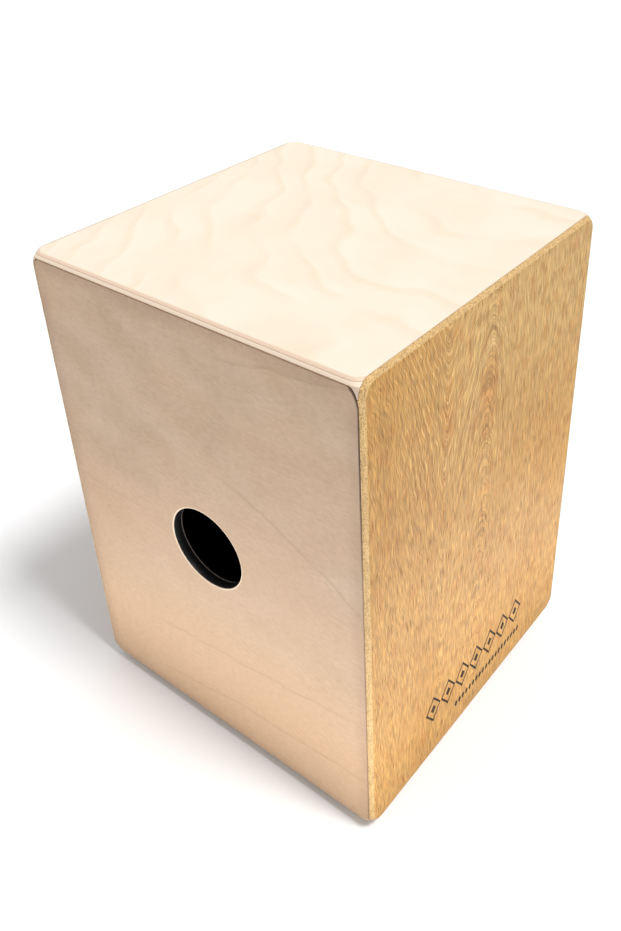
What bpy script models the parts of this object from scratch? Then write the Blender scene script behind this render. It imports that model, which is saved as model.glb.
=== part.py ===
"""A cajon: a box drum with a plywood playing face, a sound hole in its back, and snares on a bar that turns.

Units are metres. +Z is up, -Y is the back with the sound hole, +Y is the playing face.
The origin is on the floor, under the middle of the box.
"""

import math

import bmesh
import bpy
from mathutils import Matrix, Vector

MM = 0.001

# Box
BODY_W = 300 * MM
BODY_D = 288 * MM
BODY_H = 405 * MM
FOOT_H = 8 * MM
EDGE_R = 4 * MM
CORNER_R = 18 * MM
CORNER_BLEND = 1.5 * MM
EDGE_LINES = (0.0, 0.3, 0.65, 1.0)
CORNER_LINES = (0.5, 1.0)
HALVINGS = 40
GAP = 0.3 * MM
TRIM = 6 * MM

# Panels
SIDE_T = 12 * MM
END_T = 12 * MM
BACK_T = 9 * MM
TAPA_T = 3 * MM
SIDE_LIP = 3.6 * MM
TOP_LIP = 4.8 * MM
BACK_SIDE_GAP = 0.4 * MM
BACK_TOP_GAP = 0.8 * MM
RABBET_CORNERS = ((7.2 * MM, 16.4 * MM), (5.0 * MM, 9.0 * MM))
BACK_CORNERS = ((8.0 * MM, 17.6 * MM), (5.0 * MM, 9.4 * MM))
BACK_FOOT_CORNER = (5 * MM, 5 * MM)
OPEN_CORNER = (TRIM / 2, TRIM / 2)
HOLE_R = 34.7 * MM
HOLE_ARRIS = 0.7 * MM

# Battens, feet and screws
BATTEN = 15 * MM
BATTEN_PLANED = 6.75 * MM
BATTEN_SHORT = 2 * MM
FOOT_TOP_R = 14 * MM
FOOT_FLOOR_R = 12 * MM
FOOT_EDGE_R = 1.5 * MM
FOOT_COLLAR = 1.5 * MM
FOOT_EDGE_TURN = (0, 30, 60, 90)
FOOT_INSET = 34 * MM
FOOT_BORE_R = 5 * MM
FOOT_BORE_DEPTH = 4 * MM
SCREW_SIDES = 12
ROUND_SIDES = 20
HOLE_SIDES = 48
SCREW_CLEARANCE = 0.35 * MM
RECESS_REACH = 0.55
RECESS_DEPTH = 0.55
RECESS_WIDTH = 0.34
SUNK_RIM = 0.2
PAN_TOP = 0.7
PAN_RISE = 0.45
TAPA_SCREW = {"head_r": 3.5 * MM, "head_h": 2.0 * MM, "shank_r": 1.5 * MM, "length": 16 * MM}
BLOCK_SCREW = {"head_r": 3.6 * MM, "head_h": 2.2 * MM, "shank_r": 1.75 * MM, "length": 27 * MM}
FOOT_SCREW = {"head_r": 4.2 * MM, "head_h": 2.2 * MM, "shank_r": 1.9 * MM, "length": 12.5 * MM}
PLATE_SCREW = {"head_r": 2.6 * MM, "head_h": 1.6 * MM, "shank_r": 1.2 * MM, "length": 10 * MM}
TAPA_SCREW_INSET = 7.5 * MM
TAPA_SCREW_SINK = 0.2 * MM
TAPA_SCREW_ENDS = 26 * MM
TAPA_SCREWS_UP = 5
TAPA_SCREWS_ACROSS = 2

# Snare
BAR_SIDE = 18 * MM
BAR_ROUND = 1.5 * MM
BAR_Y = BODY_D / 2 - TAPA_T - 14 * MM
BAR_Z = FOOT_H + 236 * MM
TENON_R = 6 * MM
TENON_LENGTH = 14 * MM
TENON_CLEARANCE = 0.35 * MM
TENON_CHAMFER = 1 * MM
BLOCK = (20 * MM, 20 * MM, 58 * MM)
BLOCK_ROUND = 1.5 * MM
BLOCK_SCREW_OFFSET = 19 * MM
BLOCK_SCREW_SINK = 0.3 * MM
PLATE_W = 62 * MM
PLATE_H = 14 * MM
PLATE_T = 1.2 * MM
STRANDS = 10
STRAND_W = 1.6 * MM
STRAND_LENGTH = 112 * MM
WIRES_X = 62 * MM
WIRES_LEAN = math.radians(1.3)
PLATE_SCREW_X = 22 * MM

# Worked out from the sizes above
TOP_Z = FOOT_H + BODY_H
TAPA_BACK = BODY_D / 2 - TAPA_T
CASE_FRONT = TAPA_BACK - GAP
BACK_INNER = -BODY_D / 2 + BACK_T
END_HALF_W = BODY_W / 2 - SIDE_LIP - GAP
SIDE_INNER = BODY_W / 2 - SIDE_T
MID_Z = FOOT_H + BODY_H / 2
BAR_HALF_L = SIDE_INNER - BLOCK[0] - 2 * GAP


def clear_scene():
    for obj in list(bpy.data.objects):
        bpy.data.objects.remove(obj, do_unlink=True)


def make_material(name, colour, roughness, metallic=0.0):
    material = bpy.data.materials.new(name)
    material.use_nodes = True
    shader = material.node_tree.nodes["Principled BSDF"]
    shader.inputs["Base Color"].default_value = (*colour, 1.0)
    shader.inputs["Roughness"].default_value = roughness
    shader.inputs["Metallic"].default_value = metallic
    return material


def make_materials():
    return {
        "birch": make_material("birch_plywood", (0.80, 0.62, 0.43), 0.55),
        "seat": make_material("seat_birch", (0.90, 0.80, 0.64), 0.5),
        "oak": make_material("oak", (0.72, 0.45, 0.18), 0.5),
        "pine": make_material("pine", (0.78, 0.58, 0.34), 0.65),
        "beech": make_material("beech", (0.66, 0.43, 0.25), 0.55),
        "rubber": make_material("rubber", (0.03, 0.03, 0.03), 0.8),
        "screw": make_material("zinc_screw", (0.62, 0.62, 0.63), 0.35, 1.0),
        "snare": make_material("snare_steel", (0.70, 0.70, 0.71), 0.3, 1.0),
    }


def add_object(name, mesh, material=None, smooth_degrees=30):
    obj = bpy.data.objects.new(name, mesh)
    bpy.context.scene.collection.objects.link(obj)
    if material and not mesh.materials:
        mesh.materials.append(material)
    mesh.shade_smooth()
    mesh.set_sharp_from_angle(angle=math.radians(smooth_degrees))
    return obj


def mesh_from(name, build):
    """A mesh made by build(bm), with its normals facing out."""
    bm = bmesh.new()
    build(bm)
    bmesh.ops.recalc_face_normals(bm, faces=bm.faces)
    mesh = bpy.data.meshes.new(name)
    bm.to_mesh(mesh)
    bm.free()
    return mesh


def helper(name, mesh):
    """A cutter or a shape to trim with: not a piece of the object."""
    obj = bpy.data.objects.new(name, mesh)
    bpy.context.scene.collection.objects.link(obj)
    obj.hide_render = True
    obj.display_type = "WIRE"
    return obj


def combine(obj, other, operation):
    modifier = obj.modifiers.new(f"{operation.lower()}_{other.name}"[:60], "BOOLEAN")
    modifier.operation = operation
    modifier.solver = "EXACT"
    modifier.object = other
    return obj


def box_mesh(name, low, high, round_edges=0.0):
    low, high = Vector(low), Vector(high)

    def build(bm):
        bmesh.ops.create_cube(bm, size=1.0)
        bmesh.ops.scale(bm, vec=high - low, verts=bm.verts)
        bmesh.ops.translate(bm, vec=(low + high) / 2, verts=bm.verts)
        if round_edges:
            bmesh.ops.bevel(
                bm, geom=bm.edges[:], offset=round_edges, segments=1, affect="EDGES", profile=0.5
            )

    return mesh_from(name, build)


def turned_mesh(name, profile, sides):
    """A profile of (radius, height) points turned about Z. Points at radius 0 close its ends."""

    def build(bm):
        points = [bm.verts.new((radius, 0.0, height)) for radius, height in profile]
        edges = [bm.edges.new(pair) for pair in zip(points, points[1:])]
        bmesh.ops.spin(
            bm,
            geom=points + edges,
            cent=(0, 0, 0),
            axis=(0, 0, 1),
            angle=2 * math.pi,
            steps=sides,
            use_merge=True,
        )
        bmesh.ops.remove_doubles(bm, verts=bm.verts, dist=1e-6)

    return mesh_from(name, build)


def rounded_outline(half_w, low, high, top_corners, foot_corner, steps=6):
    """Points of a rectangle in X and Z, running once round it.

    Its corners are quarter ellipses of a (width, height): the top right, the top left, and both at the foot.
    """
    right, left = top_corners
    corners = [(1, high, -1, right, 0), (-1, high, -1, left, 90)]
    corners += [(-1, low, 1, foot_corner, 180), (1, low, 1, foot_corner, 270)]
    points = []
    for side, end, inward, (width, height), start in corners:
        x, z = side * (half_w - width), end + inward * height
        for step in range(steps + 1):
            angle = math.radians(start + 90 * step / steps)
            points.append((x + width * math.cos(angle), z + height * math.sin(angle)))
    return points


def plate_mesh(name, outline, y_low, y_high):
    """An outline in X and Z, extruded along Y."""

    def build(bm):
        verts = [bm.verts.new((x, y_low, z)) for x, z in outline]
        face = bm.faces.new(verts)
        extruded = bmesh.ops.extrude_face_region(bm, geom=[face])
        moved = [item for item in extruded["geom"] if isinstance(item, bmesh.types.BMVert)]
        bmesh.ops.translate(bm, vec=(0, y_high - y_low, 0), verts=moved)

    return mesh_from(name, build)


# The rounded case, which every outer panel is trimmed to


def rounded_distance(point, half, inset, radius):
    """Signed distance from a point to a box of that half size, inset and then grown by radius."""
    out = [max(abs(p) - (h - inset), 0.0) for p, h in zip(point, half)]
    inside = min(max(abs(p) - (h - inset) for p, h in zip(point, half)), 0.0)
    return math.sqrt(sum(value * value for value in out)) + inside - radius


def case_distance(point, half):
    """Distance to the case: rounded edges, and corners that a larger ball cuts."""
    edges = rounded_distance(point, half, EDGE_R, EDGE_R)
    corners = rounded_distance(point, half, CORNER_R, CORNER_R * math.sqrt(2))
    overlap = max(CORNER_BLEND - abs(edges - corners), 0.0) / CORNER_BLEND
    return max(edges, corners) + overlap * overlap * CORNER_BLEND / 4


def case_point(point, half):
    """The point of the sharp box drawn in to the case's surface."""
    anchor = [max(-(h - CORNER_R), min(h - CORNER_R, p)) for p, h in zip(point, half)]
    if case_distance(point, half) < 1e-9:
        return point
    low, high = 0.0, 1.0
    for _ in range(HALVINGS):
        middle = (low + high) / 2
        trial = [a + (p - a) * middle for a, p in zip(anchor, point)]
        if case_distance(trial, half) > 0:
            high = middle
        else:
            low = middle
    return [a + (p - a) * low for a, p in zip(anchor, point)]


def case_mesh():
    """The whole outer shape as a grid on a box, drawn in to the rounded case."""
    half = (BODY_W / 2, BODY_D / 2, BODY_H / 2)
    offsets = [line * EDGE_R for line in EDGE_LINES] + [line * CORNER_R for line in CORNER_LINES]
    lines = [[-h + o for o in offsets] + [h - o for o in reversed(offsets)] for h in half]
    last = len(lines[0]) - 1

    def build(bm):
        made = {}

        def vertex(index):
            if index not in made:
                point = [lines[axis][index[axis]] for axis in range(3)]
                x, y, z = case_point(point, half)
                made[index] = bm.verts.new((x, y, z + MID_Z))
            return made[index]

        for axis in range(3):
            first, second = [other for other in range(3) if other != axis]
            for side in (0, last):
                for i in range(last):
                    for j in range(last):
                        quad = []
                        for di, dj in ((0, 0), (1, 0), (1, 1), (0, 1)):
                            index = [0, 0, 0]
                            index[axis] = side
                            index[first] = i + di
                            index[second] = j + dj
                            quad.append(vertex(tuple(index)))
                        bm.faces.new(quad)
        bmesh.ops.triangulate(bm, faces=bm.faces[:])

    return mesh_from("case", build)


# Screws


def cross_recess(name, reach, depth):
    """A cross for a screwdriver, as one body."""
    width = reach * RECESS_WIDTH

    def build(bm):
        outline = []
        for turn in range(4):
            spin = Matrix.Rotation(math.radians(90 * turn), 2)
            for x, y in ((width, width), (reach, width), (reach, -width)):
                outline.append(spin @ Vector((x, -y)))
        verts = [bm.verts.new((p.x, p.y, -depth)) for p in outline]
        face = bm.faces.new(verts)
        extruded = bmesh.ops.extrude_face_region(bm, geom=[face])
        moved = [item for item in extruded["geom"] if isinstance(item, bmesh.types.BMVert)]
        bmesh.ops.translate(bm, vec=(0, 0, depth + TRIM), verts=moved)

    return helper(name, mesh_from(name, build))


def screw_mesh(name, size, countersunk, material):
    """A screw along -Z with the top of its head at the origin."""
    head_r, head_h, shank_r, length = size["head_r"], size["head_h"], size["shank_r"], size["length"]
    if countersunk:
        head = [(0, 0), (head_r, 0), (head_r, -SUNK_RIM * head_h), (shank_r, -head_h)]
    else:
        head = [(0, 0), (PAN_TOP * head_r, 0), (head_r, -PAN_RISE * head_h), (head_r, -head_h)]
        head += [(shank_r, -head_h)]
    profile = head + [(shank_r, -length + 2 * shank_r), (0, -length)]
    blank = add_object(f"{name}_blank", turned_mesh(name, profile, SCREW_SIDES), material)
    cutter = cross_recess(f"{name}_recess", RECESS_REACH * head_r, RECESS_DEPTH * head_h)
    combine(blank, cutter, "DIFFERENCE")
    bpy.context.view_layer.update()
    graph = bpy.context.evaluated_depsgraph_get()
    mesh = bpy.data.meshes.new_from_object(blank.evaluated_get(graph))
    mesh.name = name
    for spare in (blank, cutter):
        bpy.data.objects.remove(spare, do_unlink=True)
    return mesh


def quarter_turn(axis):
    return Matrix.Rotation(math.radians(90), 4, axis)


def pointing(direction):
    """A rotation that turns -Z to a direction."""
    return Vector((0, 0, -1)).rotation_difference(Vector(direction)).to_matrix().to_4x4()


def place_screw(name, mesh, place, direction):
    obj = add_object(name, mesh)
    obj.matrix_world = Matrix.Translation(place) @ pointing(direction)
    return obj


def screw_hole(name, size, places, direction, countersunk):
    """One cutter for the clearance round each screw of a row: shanks and, where countersunk, heads."""
    grow = SCREW_CLEARANCE
    head_r, shank_r = size["head_r"] + grow, size["shank_r"] + grow
    rim = -SUNK_RIM * size["head_h"]
    profile = [(0, TRIM), (head_r, TRIM), (head_r, rim), (shank_r, -size["head_h"])]
    if not countersunk:
        profile = [(0, TRIM), (shank_r, TRIM)]
    profile += [(shank_r, -size["length"] - grow), (0, -size["length"] - grow)]
    mesh = turned_mesh(name, profile, SCREW_SIDES)
    holes = []
    for index, place in enumerate(places, 1):
        hole = helper(f"{name}_{index:02d}", mesh)
        hole.matrix_world = Matrix.Translation(place) @ pointing(direction)
        holes.append(hole)
    return holes


def tapa_screw_places():
    """Down each side of the playing face, and between them along its top and foot."""
    x = BODY_W / 2 - TAPA_SCREW_INSET
    low, high = FOOT_H + TAPA_SCREW_ENDS, TOP_Z - TAPA_SCREW_ENDS
    y = BODY_D / 2 - TAPA_SCREW_SINK
    rise = (high - low) / (TAPA_SCREWS_UP - 1)
    heights = [low + rise * step for step in range(TAPA_SCREWS_UP)]
    places = [Vector((side * x, y, z)) for side in (-1, 1) for z in heights]
    spread = BODY_W / (TAPA_SCREWS_ACROSS + 1)
    for z in (FOOT_H + TAPA_SCREW_INSET, TOP_Z - TAPA_SCREW_INSET):
        for step in range(TAPA_SCREWS_ACROSS):
            places.append(Vector((spread * (step + 0.5 - TAPA_SCREWS_ACROSS / 2), y, z)))
    return places


def block_screw_places(side):
    """Two screws through an end block into its side panel, above and below the bar."""
    x = side * (SIDE_INNER - GAP - BLOCK[0] + BLOCK_SCREW_SINK)
    return [Vector((x, BAR_Y, BAR_Z + turn * BLOCK_SCREW_OFFSET)) for turn in (-1, 1)]


def foot_places():
    x, y = BODY_W / 2 - FOOT_INSET, BODY_D / 2 - FOOT_INSET
    return {
        "back_left": Vector((-x, -y, 0)),
        "back_right": Vector((x, -y, 0)),
        "front_left": Vector((-x, y, 0)),
        "front_right": Vector((x, y, 0)),
    }


def plate_screw_places(side):
    y = BAR_Y + BAR_SIDE / 2 + GAP + PLATE_T + GAP + PLATE_SCREW["head_h"]
    return [Vector((side * WIRES_X + turn * PLATE_SCREW_X, y, BAR_Z)) for turn in (-1, 1)]


# Panels


def rabbet_for_back():
    """The space that the back panel sits in, open below, with rounded upper corners."""
    outline = rounded_outline(
        BODY_W / 2 - SIDE_LIP, -TRIM, TOP_Z - TOP_LIP, RABBET_CORNERS, OPEN_CORNER
    )
    mesh = plate_mesh("rabbet_back", outline, -BODY_D / 2 - TRIM, BACK_INNER + GAP)
    return helper("rabbet_back", mesh)


def rabbet_for_end(name, z_low, z_high):
    """The space in both side panels that takes an end panel's edges."""
    half_w = BODY_W / 2 - SIDE_LIP
    mesh = box_mesh(name, (-half_w, -BODY_D, z_low), (half_w, BODY_D, z_high))
    return helper(name, mesh)


def side_panel(name, side, case, rabbets, holes, material):
    inner, outer = side * SIDE_INNER, side * (BODY_W / 2 + TRIM)
    low = (min(inner, outer), -BODY_D / 2 - TRIM, FOOT_H - TRIM)
    high = (max(inner, outer), CASE_FRONT, TOP_Z + TRIM)
    panel = add_object(name, box_mesh(name, low, high), material)
    combine(panel, case, "INTERSECT")
    for cutter in rabbets + holes:
        combine(panel, cutter, "DIFFERENCE")
    return panel


def seat_panel(case, rabbet, holes, material):
    low = (-END_HALF_W, -BODY_D / 2 - TRIM, TOP_Z - END_T)
    high = (END_HALF_W, CASE_FRONT, TOP_Z + TRIM)
    panel = add_object("seat_panel", box_mesh("seat_panel", low, high), material)
    combine(panel, case, "INTERSECT")
    for cutter in [rabbet] + holes:
        combine(panel, cutter, "DIFFERENCE")
    return panel


def floor_panel(case, holes, material):
    low = (-END_HALF_W, BACK_INNER + GAP, FOOT_H - TRIM)
    high = (END_HALF_W, CASE_FRONT, FOOT_H + END_T)
    panel = add_object("floor_panel", box_mesh("floor_panel", low, high), material)
    combine(panel, case, "INTERSECT")
    for cutter in holes:
        combine(panel, cutter, "DIFFERENCE")
    return panel


def back_panel(case, material):
    half_w = BODY_W / 2 - SIDE_LIP - BACK_SIDE_GAP
    top = TOP_Z - TOP_LIP - BACK_TOP_GAP
    outline = rounded_outline(half_w, FOOT_H + GAP, top, BACK_CORNERS, BACK_FOOT_CORNER)
    mesh = plate_mesh("back_panel", outline, -BODY_D / 2 - TRIM, BACK_INNER)
    panel = add_object("back_panel", mesh, material)
    combine(panel, case, "INTERSECT")
    reach = BACK_T + TRIM
    profile = [
        (0, reach),
        (HOLE_R + reach - BACK_T + HOLE_ARRIS, reach),
        (HOLE_R, BACK_T - HOLE_ARRIS),
        (HOLE_R, HOLE_ARRIS),
        (HOLE_R + HOLE_ARRIS + TRIM, -TRIM),
        (0, -TRIM),
    ]
    cutter = helper("sound_hole", turned_mesh("sound_hole", profile, HOLE_SIDES))
    cutter.matrix_world = Matrix.Translation((0, BACK_INNER, MID_Z)) @ quarter_turn("X")
    combine(panel, cutter, "DIFFERENCE")
    return panel


def front_tapa(case, holes, material):
    low = (-BODY_W / 2 - TRIM, TAPA_BACK, FOOT_H - TRIM)
    high = (BODY_W / 2 + TRIM, BODY_D / 2 + TRIM, TOP_Z + TRIM)
    tapa = add_object("front_tapa", box_mesh("front_tapa", low, high), material)
    combine(tapa, case, "INTERSECT")
    for cutter in holes:
        combine(tapa, cutter, "DIFFERENCE")
    return tapa


def batten(name, side, z_corner, up, material):
    """A batten in the corner between a side panel and an end panel, with its free corner planed off."""
    x = side * (SIDE_INNER - GAP)
    z = z_corner + up * GAP
    y_low, y_high = BACK_INNER + 2 * GAP, CASE_FRONT - BATTEN_SHORT
    kept = BATTEN - BATTEN_PLANED
    outline = [(0, 0), (BATTEN, 0), (BATTEN, kept), (kept, BATTEN), (0, BATTEN)]
    outline = [(x - side * dx, z + up * dz) for dx, dz in outline]
    return add_object(name, plate_mesh(name, outline, y_low, y_high), material)


# Feet and snare


def foot_mesh(material):
    """A rubber foot with its floor face at z = 0 and a stepped bore for its screw."""
    bore_r = FOOT_SCREW["shank_r"] + SCREW_CLEARANCE
    rim = FOOT_FLOOR_R - FOOT_EDGE_R
    turn = []
    for angle in map(math.radians, FOOT_EDGE_TURN):
        turn.append((rim + FOOT_EDGE_R * math.sin(angle), FOOT_EDGE_R * (1 - math.cos(angle))))
    top = FOOT_H - GAP
    profile = [(bore_r, top), (FOOT_TOP_R, top), (FOOT_TOP_R, top - FOOT_COLLAR)] + turn[::-1]
    profile += [(FOOT_BORE_R, 0), (FOOT_BORE_R, FOOT_BORE_DEPTH), (bore_r, FOOT_BORE_DEPTH)]
    profile += [(bore_r, top)]
    mesh = turned_mesh("foot", profile, ROUND_SIDES)
    mesh.materials.append(material)
    return mesh


def end_block(name, side, material):
    """A block on a side panel that holds one end of the bar, with a bore for its tenon."""
    outer = side * (SIDE_INNER - GAP)
    inner = outer - side * BLOCK[0]
    low = (min(inner, outer), BAR_Y - BLOCK[1] / 2, BAR_Z - BLOCK[2] / 2)
    high = (max(inner, outer), BAR_Y + BLOCK[1] / 2, BAR_Z + BLOCK[2] / 2)
    block = add_object(name, box_mesh(name, low, high, BLOCK_ROUND), material)
    radius = TENON_R + TENON_CLEARANCE
    depth = TENON_LENGTH + GAP
    bore_name = f"{name}_bore"
    profile = [(0, TRIM), (radius, TRIM), (radius, -depth), (0, -depth)]
    bore = helper(bore_name, turned_mesh(bore_name, profile, ROUND_SIDES))
    bore.matrix_world = Matrix.Translation((inner, BAR_Y, BAR_Z)) @ pointing((side, 0, 0))
    combine(block, bore, "DIFFERENCE")
    places = block_screw_places(side)
    for hole in screw_hole(f"{name}_hole", BLOCK_SCREW, places, (side, 0, 0), True):
        combine(block, hole, "DIFFERENCE")
    return block


def snare_bar(holes, material):
    """A square bar with its origin on its axis, and a round tenon at each end."""
    half = BAR_SIDE / 2
    low, high = (-BAR_HALF_L, -half, -half), (BAR_HALF_L, half, half)
    bar = add_object("snare_bar", box_mesh("snare_bar", low, high, BAR_ROUND), material)
    bar.location = (0, BAR_Y, BAR_Z)
    length = BAR_HALF_L + GAP + TENON_LENGTH
    profile = [(0, length), (TENON_R - TENON_CHAMFER, length), (TENON_R, length - TENON_CHAMFER)]
    profile += [(radius, -height) for radius, height in reversed(profile)]
    tenons = helper("tenons", turned_mesh("tenons", profile, ROUND_SIDES))
    tenons.matrix_world = Matrix.Translation(bar.location) @ quarter_turn("Y")
    combine(bar, tenons, "UNION")
    for cutter in holes:
        combine(bar, cutter, "DIFFERENCE")
    return bar


def wires_outline():
    """The end plate below, and the strands that stand up from it."""
    half_w, pitch = PLATE_W / 2, PLATE_W / STRANDS
    top = PLATE_H / 2
    points = [(half_w, -top), (half_w, top)]
    for index in reversed(range(STRANDS)):
        middle = pitch * (index + 0.5) - half_w
        points += [
            (middle + STRAND_W / 2, top),
            (middle + STRAND_W / 2, top + STRAND_LENGTH),
            (middle - STRAND_W / 2, top + STRAND_LENGTH),
            (middle - STRAND_W / 2, top),
        ]
    return points + [(-half_w, top), (-half_w, -top)]


def snare_wires(name, side, material):
    """A set of strands on one end plate, leaning to the tapa. Its origin is on the bar's axis."""
    back = BAR_SIDE / 2 + GAP
    obj = add_object(name, plate_mesh(name, wires_outline(), back, back + PLATE_T), material)
    for vertex in obj.data.vertices:
        height = vertex.co.z - PLATE_H / 2
        if height > 0:
            vertex.co.y += height * math.tan(WIRES_LEAN)
    obj.location = (side * WIRES_X, BAR_Y, BAR_Z)
    places = plate_screw_places(side)
    for hole in screw_hole(f"{name}_hole", PLATE_SCREW, places, (0, -1, 0), False):
        combine(obj, hole, "DIFFERENCE")
    return obj


def build_case(materials):
    case = helper("case", case_mesh())
    rabbet = rabbet_for_back()
    seat_rabbet = rabbet_for_end("rabbet_seat", TOP_Z - END_T - GAP, TOP_Z + 2 * TRIM)
    floor_rabbet = rabbet_for_end("rabbet_floor", FOOT_H - 2 * TRIM, FOOT_H + END_T + GAP)
    places = tapa_screw_places()
    tapa_holes = screw_hole("tapa_hole", TAPA_SCREW, places, (0, -1, 0), True)
    right = [hole for hole, place in zip(tapa_holes, places) if place.x > SIDE_INNER]
    left = [hole for hole, place in zip(tapa_holes, places) if place.x < -SIDE_INNER]
    across = [hole for hole in tapa_holes if hole not in right + left]
    low = [hole for hole in across if hole.matrix_world.translation.z < MID_Z]
    high = [hole for hole in across if hole not in low]
    rabbets = [rabbet, seat_rabbet, floor_rabbet]
    for side, hand, holes in ((-1, "left", left), (1, "right", right)):
        name = f"{hand}_side_panel"
        holes += screw_hole(f"{name}_hole", BLOCK_SCREW, block_screw_places(side), (side, 0, 0), True)
        side_panel(name, side, case, rabbets, holes, materials["oak"])
    seat_panel(case, rabbet, high, materials["seat"])
    foot_tops = [place + Vector((0, 0, FOOT_BORE_DEPTH - GAP)) for place in foot_places().values()]
    foot_holes = screw_hole("foot_hole", FOOT_SCREW, foot_tops, (0, 0, 1), False)
    floor_panel(case, low + foot_holes, materials["birch"])
    back_panel(case, materials["birch"])
    front_tapa(case, tapa_holes, materials["birch"])
    screw = screw_mesh("tapa_screw", TAPA_SCREW, True, materials["screw"])
    for index, place in enumerate(places, 1):
        place_screw(f"tapa_screw_{index:02d}", screw, place, (0, -1, 0))


def build_battens(materials):
    for side, hand in ((-1, "left"), (1, "right")):
        batten(f"batten_top_{hand}", side, TOP_Z - END_T, -1, materials["pine"])
        batten(f"batten_floor_{hand}", side, FOOT_H + END_T, 1, materials["pine"])


def build_feet(materials):
    foot = foot_mesh(materials["rubber"])
    screw = screw_mesh("foot_screw", FOOT_SCREW, False, materials["screw"])
    for name, place in foot_places().items():
        obj = add_object(f"foot_{name}", foot)
        obj.location = place
        head = place + Vector((0, 0, FOOT_BORE_DEPTH - GAP - FOOT_SCREW["head_h"]))
        place_screw(f"foot_screw_{name}", screw, head, (0, 0, 1))


def build_snare(materials):
    block_screw = screw_mesh("end_block_screw", BLOCK_SCREW, True, materials["screw"])
    plate_screw = screw_mesh("plate_screw", PLATE_SCREW, False, materials["screw"])
    bar_holes = []
    for side, hand in ((-1, "left"), (1, "right")):
        end_block(f"end_block_{hand}", side, materials["beech"])
        for place, level in zip(block_screw_places(side), ("lower", "upper")):
            place_screw(f"end_block_screw_{hand}_{level}", block_screw, place, (side, 0, 0))
        snare_wires(f"snare_wires_{hand}", side, materials["snare"])
        places = plate_screw_places(side)
        bar_holes += screw_hole(f"bar_hole_{hand}", PLATE_SCREW, places, (0, -1, 0), False)
        for index, place in enumerate(places, 1):
            place_screw(f"plate_screw_{hand}_{index}", plate_screw, place, (0, -1, 0))
    snare_bar(bar_holes, materials["beech"])


def main():
    clear_scene()
    materials = make_materials()
    build_case(materials)
    build_battens(materials)
    build_feet(materials)
    build_snare(materials)


main()
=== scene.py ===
import math

import bmesh
import bpy
from mathutils import Matrix, Vector


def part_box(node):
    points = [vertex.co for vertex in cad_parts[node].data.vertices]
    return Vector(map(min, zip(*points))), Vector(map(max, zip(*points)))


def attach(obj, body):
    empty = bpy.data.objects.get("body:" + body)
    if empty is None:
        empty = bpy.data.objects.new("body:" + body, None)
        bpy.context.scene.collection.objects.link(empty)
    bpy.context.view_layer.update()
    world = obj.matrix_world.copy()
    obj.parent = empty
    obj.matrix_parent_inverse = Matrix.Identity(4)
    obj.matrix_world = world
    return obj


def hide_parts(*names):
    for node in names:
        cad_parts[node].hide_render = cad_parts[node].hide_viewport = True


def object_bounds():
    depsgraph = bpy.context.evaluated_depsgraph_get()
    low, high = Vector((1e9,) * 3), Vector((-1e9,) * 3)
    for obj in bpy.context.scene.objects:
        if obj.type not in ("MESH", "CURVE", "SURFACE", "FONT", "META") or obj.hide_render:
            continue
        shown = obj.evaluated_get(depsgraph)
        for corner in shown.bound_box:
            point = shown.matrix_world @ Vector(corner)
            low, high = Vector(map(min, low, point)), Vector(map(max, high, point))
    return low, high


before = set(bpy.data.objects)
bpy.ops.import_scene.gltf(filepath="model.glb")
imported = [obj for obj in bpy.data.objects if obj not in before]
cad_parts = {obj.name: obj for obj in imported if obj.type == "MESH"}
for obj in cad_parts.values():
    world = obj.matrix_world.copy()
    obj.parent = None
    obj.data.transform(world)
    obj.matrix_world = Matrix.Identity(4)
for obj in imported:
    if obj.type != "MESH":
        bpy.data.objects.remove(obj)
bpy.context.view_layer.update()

MM = 0.001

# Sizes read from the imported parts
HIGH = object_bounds()[1]
TOP_Z = HIGH.z
HALF_W = HIGH.x
HALF_D = HIGH.y
FOOT_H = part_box("front_tapa")[0].z
HALF_H = (TOP_Z - FOOT_H) / 2
MID_Z = FOOT_H + HALF_H
SIDE_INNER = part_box("right_side_panel")[0].x
CASE_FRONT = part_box("right_side_panel")[1].y
BACK_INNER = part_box("back_panel")[1].y
TAPA_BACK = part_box("front_tapa")[0].y
SEAT_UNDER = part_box("seat_panel")[0].z
SEAT_HALF_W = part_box("seat_panel")[1].x
FLOOR_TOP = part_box("floor_panel")[1].z
FLOOR_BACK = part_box("floor_panel")[0].y
BACK_HALF_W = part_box("back_panel")[1].x
BACK_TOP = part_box("back_panel")[1].z
BACK_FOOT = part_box("back_panel")[0].z

# Sizes shared with the part
EDGE_R = 4 * MM
CORNER_R = 18 * MM
CORNER_BLEND = 1.5 * MM
GAP = 0.3 * MM
TRIM = 6 * MM
SIDE_LIP = 3.6 * MM
TOP_LIP = 4.8 * MM
RABBET_CORNERS = ((7.2 * MM, 16.4 * MM), (5.0 * MM, 9.0 * MM))
BACK_CORNERS = ((8.0 * MM, 17.6 * MM), (5.0 * MM, 9.4 * MM))
BACK_FOOT_CORNER = (5 * MM, 5 * MM)
HOLE_R = 34.7 * MM
HOLE_Z = MID_Z
HOLE_ARRIS = 0.7 * MM
SCREW_CLEARANCE = 0.35 * MM

BACK_ARRIS = 0.4 * MM
CORNER_STEPS = 12
EDGE_STEPS = 8
HOLE_SIDES = 128


# Meshes


def mesh_from(name, build):
    bm = bmesh.new()
    build(bm)
    bmesh.ops.recalc_face_normals(bm, faces=bm.faces)
    mesh = bpy.data.meshes.new(name)
    bm.to_mesh(mesh)
    bm.free()
    return mesh


def add_object(name, mesh):
    obj = bpy.data.objects.new(name, mesh)
    bpy.context.scene.collection.objects.link(obj)
    return obj


def baked(obj):
    """The object's mesh with its modifiers applied."""
    bpy.context.view_layer.update()
    graph = bpy.context.evaluated_depsgraph_get()
    mesh = bpy.data.meshes.new_from_object(obj.evaluated_get(graph))
    mesh.name = obj.name
    return mesh


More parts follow.
